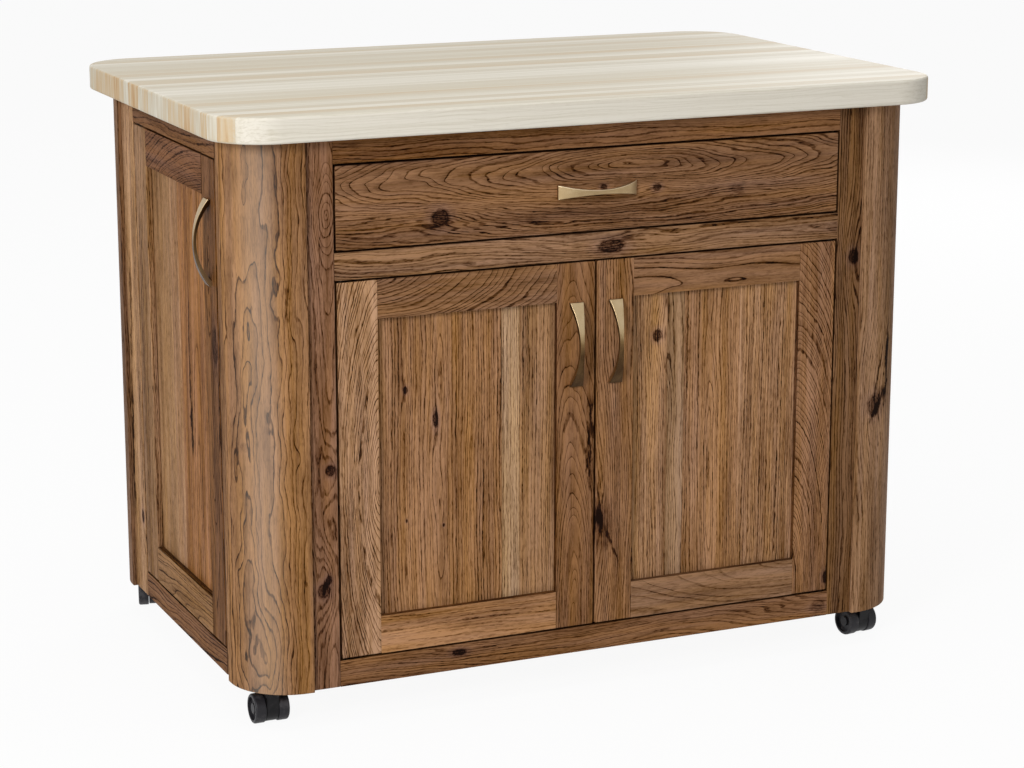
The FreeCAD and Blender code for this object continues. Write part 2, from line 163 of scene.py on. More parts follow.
def hickory(name, axes, face, boards, knots=(), streaks=(), wear_and_painted_sheen=None, figure=1.15, edges=0.45):
    """Stained hickory in boards side by side: axes gives its length, its width and its thickness,
    and face is where its seen face lies through the thickness.

    A painted sheen down the crown of a round is its place across, its half width and its strength.
    Figure is how strongly all of the grain shows, and edges how much painted shade darkens the
    narrow edges, which lie in the gaps and reveals, against the faces.
    """
    material, wood = new_finish(name)
    coordinates = wood.node("TexCoord", {}, {}, "Object")
    place = wood.node("SeparateXYZ", {}, {0: coordinates})
    normal = wood.node("SeparateXYZ", {}, {0: coordinates["Normal"]})
    along, side, deep = (place[axis] for axis in axes)
    joints = [side.math("GREATER_THAN", piece["upto"]) for piece in boards[:-1]]

    def of_board(fact):
        value = boards[0][fact]
        for joint, near, far in zip(joints, boards, boards[1:]):
            value = value + joint * (far[fact] - near[fact])
        return value

    tree = of_board("tree")

    def drawn_out(length, width, detail, shift):
        """Noise in cells of that length along the grain and that width across it."""
        cell = wood.node("CombineXYZ", {}, {
            0: along / length + (tree + shift),
            1: side / width,
            2: deep / width,
        })
        return wood.node("TexNoise", {}, {
            "Vector": cell, "Scale": 1.0, "Detail": detail, "Roughness": 0.55})

    # Knots push the years aside, glow round their rim and end in a dark, split core.
    swell = 0.0
    steep = 0.0
    knot_shade = 0.0
    ember = 0.0
    for knot_along, knot_side, size, drawn, dark in knots:
        long_way = (along - knot_along) / (size * drawn)
        short_way = (side - knot_side) / size
        ragged = drawn_out(length=size * 0.8, width=size * 0.5, detail=2.0, shift=11.0) - 0.5
        out = (long_way * long_way + short_way * short_way) ** 0.5 + ragged * 0.7
        parted = short_way * short_way + long_way * long_way * 0.12
        mound = (parted * -0.16).math("EXPONENT") * (size * 1.5)
        swell = swell + mound
        steep = steep + mound * parted ** 0.5 * (0.32 / size)
        core = out.rise(1.15, 0.8)
        halo = out.rise(2.6, 0.9)
        rim = (out - 1.05).math("ABSOLUTE").rise(0.30, 0.10)
        turns = (out * 15.0).math("SINE").rise(-0.4, 0.9)
        split = drawn_out(length=size * 0.5, width=size * 0.22, detail=1.0, shift=211.0)
        split = split.rise(0.50, 0.58)
        knot_shade = knot_shade + dark * (
            halo * 0.10 + rim * 0.24 + core * (0.45 + turns * 0.10 + split * 0.24))
        ember = ember + halo * dark

    # Years grow round the tree's heart and show as lines where the board's face cuts them.
    sway = of_board("sway")
    waves = of_board("waves")
    ring = of_board("ring")
    sideways = drawn_out(length=0.24 * waves, width=0.07 * waves, detail=1.6, shift=0.0) - 0.5
    across = side - of_board("heart_side") + sideways * sway
    from_heart = along - of_board("heart_along")
    bend = from_heart / of_board("span")
    climb = from_heart * of_board("lean") / (1.0 + bend * bend) ** 0.5
    inwards = drawn_out(length=0.20 * waves, width=0.06 * waves, detail=1.6, shift=31.0) - 0.5
    below = deep - face + of_board("behind") + climb + inwards * sway
    reach = (across * across + below * below) ** 0.5
    facing = (across * normal[axes[1]] + below * normal[axes[2]]) / reach
    passing = (1.03 - facing * facing + steep * steep) ** 0.5
    frayed = (drawn_out(length=0.025, width=0.006, detail=2.0, shift=57.0) - 0.5) * passing * 0.003
    lean_years = wood.node("TexNoise", {"noise_dimensions": "1D"}, {
        "W": reach / (ring * 2.6) + tree, "Scale": 1.0, "Detail": 1.0}, "Fac")
    year = (reach + swell + frayed) / ring + lean_years * 2.0
    season = year.math("FRACT")
    vigour = wood.node(
        "TexWhiteNoise", {"noise_dimensions": "1D"}, {"W": year.math("FLOOR") + tree}, "Value")

    # Spring wood drinks the stain, and pores, fibres and clouds follow the grain.
    spring_width = 0.0012
    breadth = passing * (spring_width / ring + 0.22) * of_board("line")
    breadth = breadth.math("MINIMUM", 0.45)
    spring = (season - breadth * 0.5).math("ABSOLUTE").rise(breadth * 0.5, breadth * 0.18)
    faded = drawn_out(length=0.16, width=0.010, detail=2.0, shift=223.0).rise(0.30, 0.62)
    spring = spring * (0.45 + vigour * 0.55) * (0.55 + faded * 0.45)
    dashes = drawn_out(length=0.011, width=0.0016, detail=1.0, shift=83.0).rise(0.51, 0.60)
    pores = dashes * (0.35 + spring * 0.65)
    fibre = drawn_out(length=0.05, width=0.0022, detail=3.0, shift=101.0) - 0.5
    mottle = drawn_out(length=0.12, width=0.012, detail=2.0, shift=191.0) - 0.5
    cloud = drawn_out(length=0.55, width=0.03, detail=3.0, shift=131.0) - 0.5
    summer = (1.0 - season) ** 2.5
    thinnest_stain = 0.16
    shade = thinnest_stain + figure * (
        (spring * 0.34 + summer * 0.17) * of_board("bold")
        + pores * 0.36 + fibre * 0.45 + mottle * 0.45 + cloud * 0.8)
    # Painted shade: the narrow edges, which lie in the gaps round doors, drawer and panels, are
    # painted darker.
    shade = shade + normal[axes[2]].math("ABSOLUTE").rise(0.7, 0.3) * edges
    for streak_side, half, start, end, strength, slant in streaks:
        middle = streak_side + (along - (start + end) / 2) * slant
        wander = drawn_out(length=0.020, width=0.006, detail=3.0, shift=151.0) - 0.5
        drift = side - middle + wander * half * 4.0
        band = drift.math("ABSOLUTE").rise(half, half * 0.25) * (0.6 + dashes * 0.4)
        fade = (end - start) * 0.3
        stretch = along.rise(start, start + fade) * along.rise(end, end - fade)
        shade = shade + band * stretch * strength
    for piece in boards[:-1]:
        glue_line = (side - piece["upto"]).math("ABSOLUTE").rise(0.0011, 0.0004)
        shade = shade + glue_line * 0.16
    shade = shade + knot_shade

    # Each board has its own tone, warmer here and cooler there.
    colour = None
    for piece, joint in zip(boards, [None, *joints]):
        stained = wood.node("ValToRGB", {"stops": stain_depths(piece["tone"])}, {0: shade})
        if colour is None:
            colour = stained
        else:
            colour = wood.node("Mix", {"data_type": "RGBA"}, {0: joint, 6: colour, 7: stained}, 2)
    warmth = drawn_out(length=0.3, width=0.018, detail=3.0, shift=171.0)
    colour = wood.node("HueSaturation", {}, {
        "Hue": 0.494 + warmth * 0.014 - ember * 0.006,
        "Saturation": 0.85 + warmth * 0.4 - ember * 0.10,
        "Color": colour})
    # Painted sheen: a pale band painted down the crown of a round post, standing in for the lamp's
    # highlight on its lacquer.
    if wear_and_painted_sheen:
        crown, half, strength = wear_and_painted_sheen
        worn_and_painted_sheen = (side - crown).math("ABSOLUTE").rise(half, half * 0.1) * strength
        colour = wood.node(
            "Mix", {"data_type": "RGBA"}, {0: worn_and_painted_sheen, 6: colour, 7: ink(200, 186, 172)}, 2)
    relief = 1.0 - spring * 0.35 - pores * 0.5 - knot_shade * 0.6
    bump = wood.node("Bump", {}, {"Strength": 0.35, "Distance": 0.0005, "Height": relief})
    lacquer(material, {
        "Base Color": colour,
        "Roughness": 0.46 + shade * 0.2,
        "Normal": bump,
        "Specular IOR Level": 0.03,
    })
    return material


def dress(node, material):
    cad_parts[node].material_slots[0].material = material


def ease(node, width):
    """Break a board's sharp arrises with a few strokes of the plane."""
    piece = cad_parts[node]
    weld = piece.modifiers.new("weld", "WELD")
    weld.merge_threshold = 0.00001
    bevel = piece.modifiers.new("eased edges", "BEVEL")
    bevel.width = width
    bevel.segments = 3
    bevel.limit_method = "ANGLE"
    bevel.angle_limit = math.radians(40)
    normals = piece.modifiers.new("flat faces", "WEIGHTED_NORMAL")
    normals.keep_sharp = True


pale_post_core = -0.142
front_post_face = -0.353
left_post_face = -0.556
plain_post_core = 0.276
# The front left post has a painted sheen, a pale highlight band painted down the crown of its
# round.
dress("post_front_left", hickory("pale post", "ZXY", pale_post_core, [
    board((126, 91, 61), (0.45, -0.294), lean=0.006, behind=0.0, ring=0.0042, sway=0.014,
          waves=0.42, line=0.75, bold=1.3, tree=3.0)],
    knots=[
        knot(0.574, -0.534, size=0.006, drawn=2.0, dark=0.0),
        knot(0.430, -0.541, size=0.004, drawn=1.6, dark=0.25),
        knot(0.240, -0.541, size=0.006, drawn=2.4, dark=0.0),
        knot(0.120, -0.520, size=0.010, drawn=1.0, dark=0.0)],
    streaks=[streak(-0.487, half=0.004, start=0.605, end=0.680, strength=0.5, slant=0.05)],
    wear_and_painted_sheen=(-0.522, 0.036, 0.20), edges=0.0))
dress("post_front_right", hickory("knotty post", "ZXY", front_post_face, [
    board((133, 101, 75), (0.45, 0.40), lean=0.012, behind=0.06, sway=0.015, bold=0.8, tree=8.0)],
    knots=[knot(0.398, 0.487, size=0.013, drawn=1.2, dark=0.8)],
    streaks=[
        streak(0.514, half=0.005, start=0.380, end=0.535, strength=1.5, slant=0.03),
        streak(0.499, half=0.008, start=0.365, end=0.440, strength=1.1, slant=0.6),
        streak(0.494, half=0.003, start=0.395, end=0.500, strength=0.8, slant=0.2),
        streak(0.476, half=0.003, start=0.340, end=0.390, strength=0.4, slant=0.1)],
    edges=0.0))
dress("post_rear_left", hickory("dark post", "ZYX", left_post_face, [
    board((104, 76, 56), (0.45, 0.27), lean=0.015, behind=0.08, tree=12.0)], edges=0.0))
dress("post_rear_right", hickory("plain post", "ZXY", plain_post_core, [
    board((128, 95, 68), (0.45, 0.49), lean=0.02, behind=0.0, sway=0.04, tree=15.0)], edges=0.0))
for corner in ("front_left", "front_right", "rear_left", "rear_right"):
    ease("post_" + corner, width=0.0015)

# Front face frame: two stiles and three rails of inch hickory, glued and doweled edge to edge
# between the posts, standing back a little from their faces. It frames the drawer and both doors.
front_face = -0.3465
dress("front_stile_left", hickory("left front stile", "ZXY", front_face, [
    board((118, 85, 63), (0.765, -0.424), lean=0.35, span=0.07, behind=0.0, ring=0.0030, sway=0.007,
          waves=0.5, bold=0.85, tree=21.0)],
    knots=[
        knot(0.391, -0.424, size=0.0065, drawn=1.2, dark=1.0),
        knot(0.210, -0.437, size=0.009, drawn=1.1, dark=0.8),
        knot(0.226, -0.429, size=0.004, drawn=1.6, dark=1.0)],
    streaks=[
        streak(-0.435, half=0.004, start=0.66, end=0.75, strength=0.3, slant=0.05),
        # Painted shadow: a dark band the full height of the stile's left edge, where the proud post
        # shades it.
        streak(-0.4535, half=0.003, start=-0.5, end=1.5, strength=0.35, slant=0.0)]))
dress("front_stile_right", hickory("right front stile", "ZXY", front_face, [
    board((100, 71, 47), (0.45, 0.36), lean=0.012, behind=0.05, ring=0.0038, bold=1.5, tree=24.0)],
    knots=[knot(0.640, 0.443, size=0.008, drawn=1.3, dark=1.0)],
    streaks=[streak(0.450, half=0.005, start=0.22, end=0.52, strength=0.3, slant=0.0)]))
dress("front_top_rail", hickory("front top rail", "XZY", front_face, [
    board((114, 80, 54), (0.0, 0.78), lean=0.02, behind=0.05, sway=0.03, tree=27.0)]))
dress("front_mid_rail", hickory("front middle rail", "XZY", front_face, [
    board((121, 90, 66), (0.0, 0.62), lean=0.02, behind=0.05, ring=0.0038, sway=0.03, tree=30.0)],
    knots=[
        knot(0.025, 0.688, size=0.009, drawn=2.2, dark=1.0),
        knot(0.405, 0.688, size=0.006, drawn=1.6, dark=0.3)],
    streaks=[streak(0.690, half=0.002, start=0.365, end=0.385, strength=0.4, slant=0.1)]))
dress("front_bottom_rail", hickory("front bottom rail", "XZY", front_face, [
    board((112, 79, 54), (0.0, 0.03), lean=0.02, behind=0.04, ring=0.0036, sway=0.03, tree=33.0)],
    knots=[
        knot(-0.223, 0.086, size=0.005, drawn=2.0, dark=1.0),
        knot(0.397, 0.076, size=0.010, drawn=1.2, dark=0.5)]))
for piece in ("stile_left", "stile_right", "top_rail", "mid_rail", "bottom_rail"):
    ease("front_" + piece, width=0.0012)

# Left end frame: two stiles and two rails like the front's, glued between the posts round the tall
# end door, with the wider stile at the back. Its boards were picked for a strong figure.
left_face = -0.5495
left_figure = 1.4
dress("left_stile_front", hickory("left end front stile", "ZYX", left_face, [
    board((98, 66, 41), (0.45, -0.20), lean=0.012, behind=0.06, bold=1.4, tree=36.0)],
    figure=left_figure))
dress("left_stile_rear", hickory("left end rear stile", "ZYX", left_face, [
    board((150, 115, 84), (0.45, 0.30), lean=0.015, behind=0.05, bold=1.0, tree=39.0)],
    knots=[knot(0.190, 0.203, size=0.006, drawn=1.6, dark=1.0)],
    streaks=[
        streak(0.234, half=0.006, start=0.42, end=0.64, strength=0.8, slant=-0.03),
        streak(0.246, half=0.007, start=0.16, end=0.44, strength=1.2, slant=-0.03)],
    figure=left_figure))
dress("left_top_rail", hickory("left end top rail", "YZX", left_face, [
    board((93, 61, 37), (0.0, 0.82), lean=0.02, behind=0.05, bold=0.8, tree=42.0)],
    figure=left_figure))
dress("left_bottom_rail", hickory("left end bottom rail", "YZX", left_face, [
    board((101, 67, 40), (0.0, 0.05), lean=0.02, behind=0.05, bold=1.4, tree=45.0)],
    figure=left_figure))
for piece in ("stile_front", "stile_rear", "top_rail", "bottom_rail"):
    ease("left_" + piece, width=0.0012)

# Right end and back: fixed stile-and-rail frames with flat panels of upright boards let into
# grooves, glued between the posts.
right_face = 0.5495
right_panel_face = 0.5395
back_face = 0.3465
back_panel_face = 0.3365
dress("right_stiles", hickory("right end stiles", "ZYX", right_face, [
    board((122, 88, 61), (0.45, -0.28), lean=-0.02, behind=-0.05, tree=48.0, upto=0.0),
    board((130, 95, 66), (0.45, 0.18), lean=-0.015, behind=-0.05, tree=51.0)]))
dress("right_rails", hickory("right end rails", "YZX", right_face, [
    board((116, 82, 56), (0.0, 0.10), lean=-0.03, behind=-0.05, tree=54.0, upto=0.45),
    board((124, 90, 62), (0.0, 0.79), lean=-0.03, behind=-0.05, tree=57.0)]))
dress("right_panel", hickory("right end panel", "ZYX", right_panel_face, [
    board((139, 101, 68), (0.36, -0.12), lean=-0.05, behind=0.0, tree=60.0, upto=-0.060),
    board((146, 111, 80), (0.45, 0.10), lean=-0.02, behind=-0.05, tree=63.0, upto=0.055),
    board((133, 97, 66), (0.70, 0.12), lean=-0.05, behind=0.0, tree=66.0)],
    knots=[knot(0.36, -0.10, size=0.006, drawn=1.4, dark=1.0)]))
dress("back_stiles", hickory("back stiles", "ZXY", back_face, [
    board((126, 91, 63), (0.45, -0.40), lean=-0.02, behind=-0.05, tree=69.0, upto=-0.2),
    board((134, 98, 68), (0.20, 0.02), lean=-0.06, behind=0.0, tree=72.0, upto=0.2),
    board((120, 86, 59), (0.45, 0.42), lean=-0.02, behind=-0.05, tree=75.0)],
    knots=[knot(0.33, 0.41, size=0.007, drawn=1.3, dark=1.0)]))
dress("back_rails", hickory("back rails", "XZY", back_face, [
    board((118, 84, 57), (0.0, 0.09), lean=-0.03, behind=-0.05, tree=78.0, upto=0.45),
    board((124, 90, 62), (0.0, 0.80), lean=-0.03, behind=-0.05, tree=81.0)]))
dress("back_panels", hickory("back panels", "ZXY", back_panel_face, [
    board((140, 102, 70), (0.45, -0.30), lean=-0.05, behind=0.0, tree=84.0, upto=-0.260),
    board((133, 97, 66), (0.45, -0.20), lean=-0.02, behind=-0.05, tree=87.0, upto=-0.140),
    board((150, 115, 84), (0.45, -0.09), lean=-0.02, behind=-0.05, tree=90.0, upto=0.0),
    board((136, 99, 67), (0.30, 0.10), lean=-0.05, behind=0.0, tree=93.0, upto=0.160),
    board((143, 107, 76), (0.45, 0.22), lean=-0.02, behind=-0.06, tree=96.0, upto=0.270),
    board((131, 96, 66), (0.60, 0.32), lean=-0.05, behind=0.0, tree=99.0)],
    knots=[
        knot(0.55, -0.21, size=0.007, drawn=1.4, dark=1.0),
        knot(0.30, 0.24, size=0.006, drawn=1.5, dark=1.0)]))
for piece in ("stiles", "rails", "panel"):
    ease("right_" + piece, width=0.0008)
for piece in ("stiles", "rails", "panels"):
    ease("back_" + piece, width=0.0008)

# Inside of the cabinet: the floor, the partition behind the end door and the battens are plain
# boards under clear lacquer, glued and screwed to the frames.
clear_lacquer = {"figure": 0.6, "edges": 0.0}
deck_top = 0.099
partition_face = -0.431
back_of_frame = -0.3265
dress("cabinet_deck", hickory("cabinet floor", "XYZ", deck_top, [
    board((186, 150, 108), (0.0, -0.25), lean=0.02, behind=-0.07, tree=102.0, upto=-0.14),
    board((194, 160, 118), (0.0, -0.02), lean=0.02, behind=-0.06, tree=105.0, upto=0.12),
    board((180, 144, 102), (0.0, 0.20), lean=0.02, behind=-0.07, tree=108.0)], **clear_lacquer))
dress("partition", hickory("partition boards", "ZYX", partition_face, [
    board((188, 152, 110), (0.45, -0.20), lean=0.02, behind=0.05, tree=111.0, upto=-0.11),
    board((196, 162, 120), (0.45, 0.02), lean=0.02, behind=0.05, tree=114.0, upto=0.10),
    board((184, 148, 106), (0.45, 0.21), lean=0.02, behind=0.05, tree=117.0)], **clear_lacquer))
dress("cabinet_battens", hickory("battens", "XZY", back_of_frame, [
    board((190, 155, 112), (0.0, 0.80), lean=0.02, behind=0.05, tree=120.0)], **clear_lacquer))
for piece in ("cabinet_deck", "partition", "cabinet_battens"):
    ease(piece, width=0.0008)


# Hinge plates and catches: blackened steel plates screwed into the rails take the doors' pivot
# pins, and a moulded brown block behind each door's free corner stops and holds it.
def plated_steel(name, dull, bright):
    material, metal = new_finish(name)
    place = metal.node("TexCoord", {}, {}, "Object")
    spangle = metal.node("TexVoronoi", {}, {"Vector": place, "Scale": 260.0}, "Color")
    grey = metal.node("ValToRGB", {"stops": [
        (0.2, ink(*dull)), (0.8, ink(*bright))]}, {0: spangle})
    wear_and_painted_sheen = metal.node("TexNoise", {}, {"Vector": place, "Scale": 90.0, "Detail": 5.0})
    bump = metal.node("Bump", {}, {"Strength": 0.15, "Distance": 0.0002, "Height": wear_and_painted_sheen})
    lacquer(material, {
        "Base Color": grey, "Metallic": 1.0, "Roughness": 0.24 + wear_and_painted_sheen * 0.24, "Normal": bump})
    return material


def moulded_plastic(name, dull, worn_and_painted_sheen, grain):
    material, plastic = new_finish(name)
    place = plastic.node("TexCoord", {}, {}, "Object")
    pebble = plastic.node("TexNoise", {}, {"Vector": place, "Scale": grain, "Detail": 2.0})
    scuff = plastic.node("TexNoise", {}, {"Vector": place, "Scale": 70.0, "Detail": 6.0})
    wear_and_painted_sheen = scuff.rise(0.50, 0.72)
    colour = plastic.node(
        "Mix", {"data_type": "RGBA"}, {0: wear_and_painted_sheen, 6: ink(*dull), 7: ink(*worn_and_painted_sheen)}, 2)
    bump = plastic.node("Bump", {}, {"Strength": 0.2, "Distance": 0.0002, "Height": pebble})
    lacquer(material, {
        "Base Color": colour, "Roughness": 0.34 + pebble * 0.16 + wear_and_painted_sheen * 0.12, "Normal": bump,
        "Specular IOR Level": 0.2})
    return material


blackened = plated_steel("blackened steel", dull=(40, 34, 29), bright=(58, 50, 43))
dress("pivot_plates", blackened)
dress("door_catches", moulded_plastic(
    "catch brown", dull=(86, 58, 38), worn_and_painted_sheen=(104, 74, 52), grain=900.0))

# Left front door: a stile-and-rail frame with eased edges round a flat recessed panel of three
# upright boards, hung on pivots at its left. The panel floats in grooves.
dress("left_door_hinge_stile", hickory("left door hinge stile", "ZXY", front_face, [
    board((147, 113, 86), (0.36, -0.345), lean=0.20, behind=0.0, ring=0.0026, sway=0.016, bold=1.3,
          tree=123.0)],
    streaks=[streak(-0.357, half=0.016, start=0.15, end=0.67, strength=-0.10, slant=0.0)]))
dress("left_door_pull_stile", hickory("left door pull stile", "ZXY", front_face, [
    board((116, 82, 56), (0.08, -0.035), lean=0.10, behind=0.0, ring=0.0030, sway=0.014, waves=0.8,
          line=0.8, bold=1.1, tree=126.0)],
    streaks=[streak(-0.008, half=0.006, start=0.30, end=0.48, strength=1.0, slant=0.01)]))
dress("left_door_rails", hickory("left door rails", "XZY", front_face, [
    board((140, 102, 71), (-0.2, 0.02), lean=0.01, behind=0.03, ring=0.006, bold=0.45,
          tree=129.0, upto=0.4),
    board((113, 82, 59), (-0.36, 0.670), lean=0.35, behind=0.0, ring=0.0040, bold=1.3,
          tree=132.0)]))
panel_face = -0.3365
dress("left_door_panel", hickory("left door panel", "ZXY", panel_face, [
    board((137, 100, 70), (0.46, -0.250), lean=0.05, behind=0.0, ring=0.0045, tree=135.0,
          upto=-0.149),
    board((150, 119, 89), (0.45, -0.05), lean=0.01, behind=0.04, ring=0.003, sway=0.01, tree=138.0,
          upto=-0.120),
    board((136, 101, 70), (0.45, -0.02), lean=0.01, behind=0.04, ring=0.0032, sway=0.01,
          tree=141.0)],
    knots=[
        knot(0.497, -0.302, size=0.003, drawn=1.6, dark=1.0),
        knot(0.448, -0.255, size=0.004, drawn=2.6, dark=1.0),
        knot(0.298, -0.302, size=0.0015, drawn=1.6, dark=1.0),
        knot(0.285, -0.243, size=0.0015, drawn=1.6, dark=1.0)],
    streaks=[
        streak(-0.152, half=0.003, start=0.16, end=0.61, strength=0.25, slant=0.0),
        streak(-0.255, half=0.0025, start=0.34, end=0.60, strength=0.25, slant=0.0)]))

# Right front door: the left door's other hand, hung on pivots at its right. A burnt knot and a
# crack run down its pull stile, and its panel has four boards with one narrow grey one.
dress("right_door_hinge_stile", hickory("right door hinge stile", "ZXY", front_face, [
    board((129, 94, 68), (0.12, 0.345), lean=0.22, behind=0.0, ring=0.0021, sway=0.012, bold=1.3,
          tree=144.0)],
    knots=[knot(0.123, 0.410, size=0.006, drawn=1.5, dark=1.0)]))
dress("right_door_pull_stile", hickory("right door pull stile", "ZXY", front_face, [
    board((125, 90, 62), (0.45, 0.10), lean=0.02, behind=0.05, ring=0.0038, tree=147.0)],
    knots=[
        knot(0.255, 0.014, size=0.016, drawn=2.0, dark=0.35),
        knot(0.270, 0.009, size=0.0045, drawn=2.4, dark=1.0)],
    streaks=[
        streak(0.007, half=0.006, start=0.245, end=0.345, strength=0.7, slant=0.03),
        streak(0.012, half=0.005, start=0.235, end=0.275, strength=0.9, slant=0.0),
        streak(0.030, half=0.0028, start=0.185, end=0.262, strength=0.8, slant=-0.40)]))
dress("right_door_rails", hickory("right door rails", "XZY", front_face, [
    board((122, 91, 67), (0.36, 0.168), lean=0.20, behind=0.0, ring=0.009, sway=0.03, bold=0.6,
          tree=150.0, upto=0.4),
    board((116, 84, 60), (0.1, 0.62), lean=0.03, behind=0.02, ring=0.008, sway=0.03, bold=1.2,
          tree=153.0)]))
dress("right_door_panel", hickory("right door panel", "ZXY", panel_face, [
    board((145, 109, 78), (0.45, 0.03), lean=0.02, behind=0.04, ring=0.0036, tree=156.0,
          upto=0.126),
    board((133, 103, 76), (0.45, 0.10), lean=0.02, behind=0.05, ring=0.0032, tree=159.0,
          upto=0.155),
    board((142, 105, 75), (0.30, 0.20), lean=0.04, behind=0.0, ring=0.0042, tree=162.0, upto=0.250),
    board((151, 114, 83), (0.45, 0.40), lean=0.02, behind=0.04, ring=0.0034, sway=0.01,
          tree=165.0)],
    knots=[knot(0.542, 0.109, size=0.007, drawn=1.2, dark=1.0)],
    streaks=[
        streak(0.1605, half=0.0024, start=0.40, end=0.64, strength=0.6, slant=0.0),
        streak(0.252, half=0.0024, start=0.12, end=0.66, strength=-0.25, slant=0.0)]))

# Left end door: the same frame, taller, closing a shallow side compartment and hung on pivots at
# its rear edge. Its panel has a straight pale board, a narrow one and one with a burnt streak.
left_panel_face = -0.5395
dress("side_door_hinge_stile", hickory("end door hinge stile", "ZYX", left_face, [
    board((140, 107, 78), (0.45, 0.10), lean=0.02, behind=0.05, ring=0.0038, tree=168.0)],
    edges=0.1))
dress("side_door_pull_stile", hickory("end door pull stile", "ZYX", left_face, [
    board((98, 65, 39), (0.80, -0.19), lean=0.06, behind=0.0, ring=0.0038, bold=1.2, tree=171.0)],
    knots=[knot(0.557, -0.208, size=0.010, drawn=2.6, dark=0.6)],
    streaks=[streak(-0.210, half=0.006, start=0.46, end=0.62, strength=0.3, slant=0.0)],
    figure=left_figure))
dress("side_door_rails", hickory("end door rails", "YZX", left_face, [
    board((116, 84, 55), (0.0, 0.10), lean=0.03, behind=0.05, bold=1.0, tree=174.0, upto=0.45),
    board((96, 62, 38), (-0.24, 0.70), lean=0.4, behind=0.0, ring=0.0046, line=0.8, tree=177.0)],
    figure=left_figure))
dress("side_door_panel", hickory("end door panel", "ZYX", left_panel_face, [
    board((130, 89, 56), (0.22, -0.08), lean=0.05, behind=0.0, ring=0.0055, bold=0.9, tree=180.0,
          upto=-0.005),
    board((148, 112, 82), (0.45, 0.10), lean=0.01, behind=0.05, bold=0.6, tree=183.0, upto=0.035),
    board((142, 108, 77), (0.45, 0.20), lean=0.02, behind=0.05, bold=0.8, tree=186.0)],
    streaks=[
        streak(-0.050, half=0.007, start=0.345, end=0.450, strength=1.3, slant=0.0),
        streak(-0.047, half=0.005, start=0.40, end=0.58, strength=0.8, slant=0.02)]))
for door in ("left_door", "right_door", "side_door"):
    for piece in ("hinge_stile", "pull_stile", "rails"):
        ease(door + "_" + piece, width=0.0018)
    dress(door + "_pivots", blackened)

# Drawer: one wide hickory slab screwed to a dovetailed box of clear-lacquered boards, which runs
# on a pair of pressed zinc-plated slides.
dress("drawer_front", hickory("drawer slab", "XZY", front_face, [
    board((115, 83, 59), (0.078, 0.806), lean=0.13, behind=0.0, ring=0.0034, sway=0.022, waves=0.7,
          line=1.2, bold=1.2, tree=189.0)],
    knots=[
        knot(-0.249, 0.750, size=0.011, drawn=1.15, dark=1.0),
        knot(0.012, 0.777, size=0.004, drawn=1.3, dark=1.0),
        knot(0.100, 0.771, size=0.005, drawn=1.3, dark=1.0),
        knot(0.235, 0.760, size=0.006, drawn=1.6, dark=0.35)]))
ease("drawer_front", width=0.0018)
drawer_middle = 0.0
drawer_back_face = 0.16
drawer_floor = 0.735
dress("drawer_sides", hickory("drawer side boards", "YZX", drawer_middle, [
    board((196, 163, 120), (0.0, 0.68), lean=0.02, behind=0.1, tree=192.0)], **clear_lacquer))
dress("drawer_box_front", hickory("drawer box front board", "XZY", back_of_frame, [
    board((190, 156, 114), (0.0, 0.70), lean=0.02, behind=0.06, tree=195.0)], **clear_lacquer))
dress("drawer_back", hickory("drawer back board", "XZY", drawer_back_face, [
    board((192, 158, 116), (0.0, 0.70), lean=0.02, behind=0.06, tree=198.0)], **clear_lacquer))
dress("drawer_bottom", hickory("drawer bottom boards", "XYZ", drawer_floor, [
    board((200, 168, 126), (0.0, -0.2), lean=0.02, behind=0.06, tree=201.0)], **clear_lacquer))
for piece in ("drawer_sides", "drawer_box_front", "drawer_back", "drawer_bottom"):
    ease(piece, width=0.0006)
zinc = plated_steel("zinc plate", dull=(138, 140, 142), bright=(178, 180, 182))
dress("slide_cabinet_members", zinc)
dress("slide_drawer_members", zinc)


# Pulls: bowed brass straps that flare from a slim waist to square ends, brushed along their length
# and darkened to an antique brown, screwed on from behind.
def antique_brass(name, axes, aged):
    material, brass = new_finish(name)
    coordinates = brass.node("TexCoord", {}, {}, "Object")
    place = brass.node("SeparateXYZ", {}, {0: coordinates})
    along, side, deep = (place[axis] for axis in axes)
    hairs = brass.node("CombineXYZ", {}, {0: along / 0.03, 1: side / 0.0004, 2: deep / 0.0004})
    brushed = brass.node("TexNoise", {}, {"Vector": hairs, "Scale": 1.0, "Detail": 2.0})
    spots = brass.node("CombineXYZ", {}, {0: along / 0.03, 1: side / 0.01, 2: deep / 0.01})
    patina = brass.node("TexNoise", {}, {"Vector": spots, "Scale": 1.0, "Detail": 4.0})
    # Painted highlight and shade: faces turned up are painted paler and faces turned down darker,
    # standing in for bright reflections above and dark ones below; the aged level and the noise are
    # tarnish.
    painted_light_from_above = brass.node("SeparateXYZ", {}, {0: coordinates["Normal"]})["Z"].rise(-0.16, 0.26)
    tarnish_and_painted_shade = aged - painted_light_from_above * 0.66 + (brushed - 0.5) * 0.4 + (patina - 0.5) * 0.3
    colour = brass.node("ValToRGB", {"stops": [
        (0.0, ink(204, 186, 154)),
        (0.35, ink(172, 148, 111)),
        (0.65, ink(120, 94, 61)),
        (1.0, ink(62, 43, 26))]}, {0: tarnish_and_painted_shade})
    bump = brass.node("Bump", {}, {"Strength": 0.12, "Distance": 0.0002, "Height": brushed})
    lacquer(material, {
        "Base Color": colour, "Metallic": 1.0, "Roughness": 0.28 + brushed * 0.14, "Normal": bump})
    return material


dress("drawer_pull", antique_brass("brass along the drawer", "XZY", aged=0.60))
upright_brass = antique_brass("upright brass", "ZXY", aged=0.94)
for door in ("left_door", "right_door", "side_door"):
    dress(door + "_pull", upright_brass)


